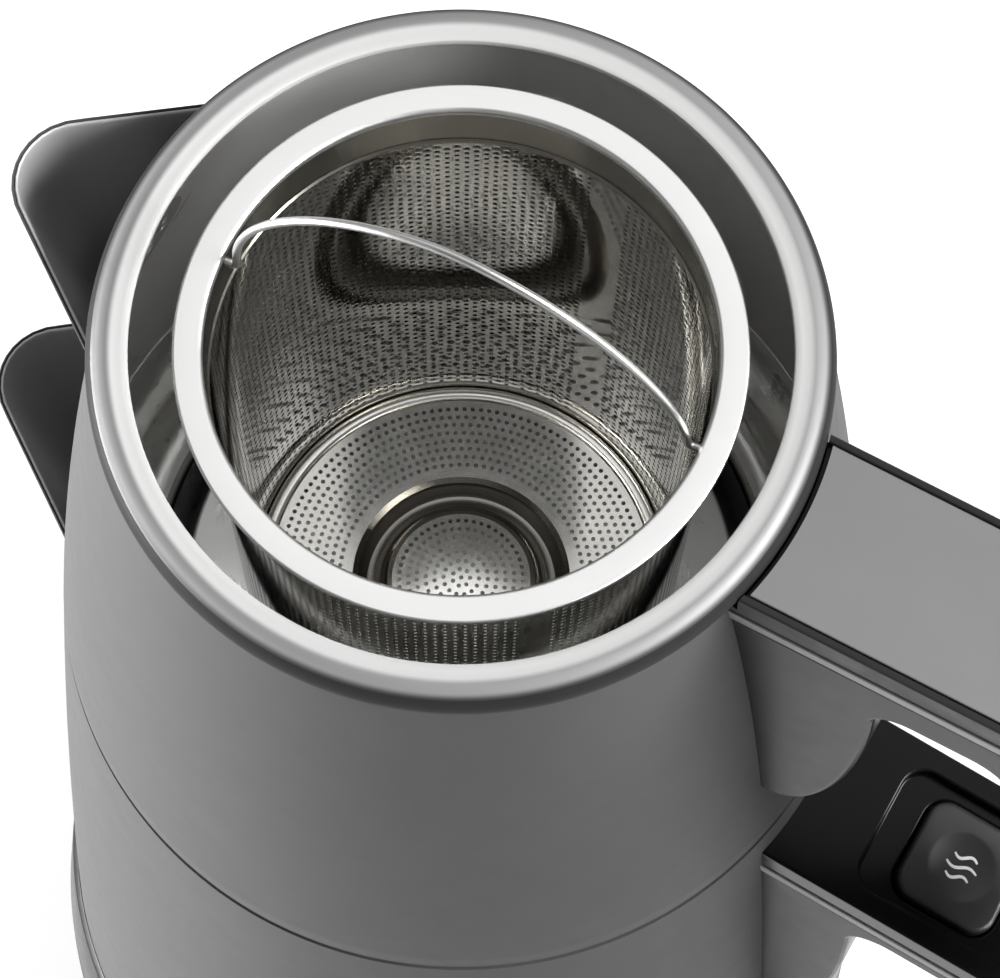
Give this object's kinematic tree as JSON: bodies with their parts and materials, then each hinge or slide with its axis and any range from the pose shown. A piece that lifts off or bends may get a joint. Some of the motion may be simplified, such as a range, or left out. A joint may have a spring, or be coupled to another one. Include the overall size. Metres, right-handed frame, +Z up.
{
  "type": "electric tea maker",
  "caption": "Stacked electric tea maker: a satin metal kettle on a power base, a teapot above it with beak spouts and side handles, and a perforated tea strainer with a wire bail.",
  "frame": {"origin": "on the vessels' axis, at the underside of the feet, where the power base rests on the table", "axes": "+Z up along the vessels' axis, +X towards the handles, spouts towards -X"},
  "size_m": [0.2157, 0.1466, 0.3228],
  "materials": {
    "black_plastic": "fine matt moulded",
    "gloss_black": "polished",
    "button_plastic": "satin",
    "foot_rubber": "soft matt",
    "contact_brass": "plain",
    "satin_grey_coat": "satin metallic coat",
    "plain_steel": "brushed",
    "strainer_steel": "fine satin",
    "cast_alu": "cast"
  },
  "bodies": {
    "power_base": {"base_housing": "black_plastic", "base_bottom_plate": "black_plastic", "base_feet": "foot_rubber", "base_connector": "black_plastic", "base_contacts": "contact_brass", "base_cord_inlet": "black_plastic", "base_screws": "plain_steel"},
    "kettle": {"kettle_shell": "satin_grey_coat", "kettle_floor": "plain_steel", "kettle_rim_seat": "plain_steel", "kettle_spout": "satin_grey_coat", "kettle_spout_filter": "plain_steel", "kettle_collar": "gloss_black", "kettle_bottom_cover": "black_plastic", "kettle_cover_screws": "plain_steel", "heat_spreader": "cast_alu", "heating_element": "plain_steel", "kettle_connector": "black_plastic", "kettle_handle_body": "gloss_black", "kettle_handle_trim": "plain_steel", "kettle_handle_top": "gloss_black", "kettle_handle_screws": "plain_steel", "button_spring": "plain_steel", "button_switch": "black_plastic", "boil_sensor": "cast_alu"},
    "button": {"steam_button": "button_plastic"},
    "teapot": {"teapot_shell": "satin_grey_coat", "teapot_lip": "satin_grey_coat", "teapot_floor": "plain_steel", "teapot_spout": "satin_grey_coat", "teapot_spout_filter": "plain_steel", "teapot_handle_body": "gloss_black", "teapot_handle_trim": "plain_steel", "teapot_handle_frame": "black_plastic", "teapot_handle_plate": "satin_grey_coat", "teapot_handle_screws": "plain_steel"},
    "basket": {"basket_flange": "strainer_steel", "basket_wall": "strainer_steel", "basket_bottom": "strainer_steel", "basket_bead": "strainer_steel"},
    "bail": {"basket_bail": "plain_steel"}
  },
  "joints": [
    {"name": "kettle_lift", "type": "slide", "parent": "power_base", "child": "kettle", "axis": [0, 0, 1], "range_m": [0, 0.15]},
    {"name": "teapot_lift", "type": "slide", "parent": "kettle", "child": "teapot", "axis": [0, 0, 1], "range_m": [0, 0.15]},
    {"name": "basket_lift", "type": "slide", "parent": "teapot", "child": "basket", "axis": [0, 0, 1], "range_m": [0, 0.13]},
    {"name": "bail_swing", "type": "hinge", "parent": "basket", "child": "bail", "pos_m": [0, 0, 0.2864], "axis": [0.9954, 0.0958, 0], "range_deg": [-85, 85]},
    {"name": "button_press", "type": "slide", "parent": "kettle", "child": "button", "axis": [-0.1736, 0, -0.9848], "range_m": [0, 0.002], "stiffness_N_per_m": 400, "springref_m": -0.003, "deforming": ["button_spring"]}
  ]
}
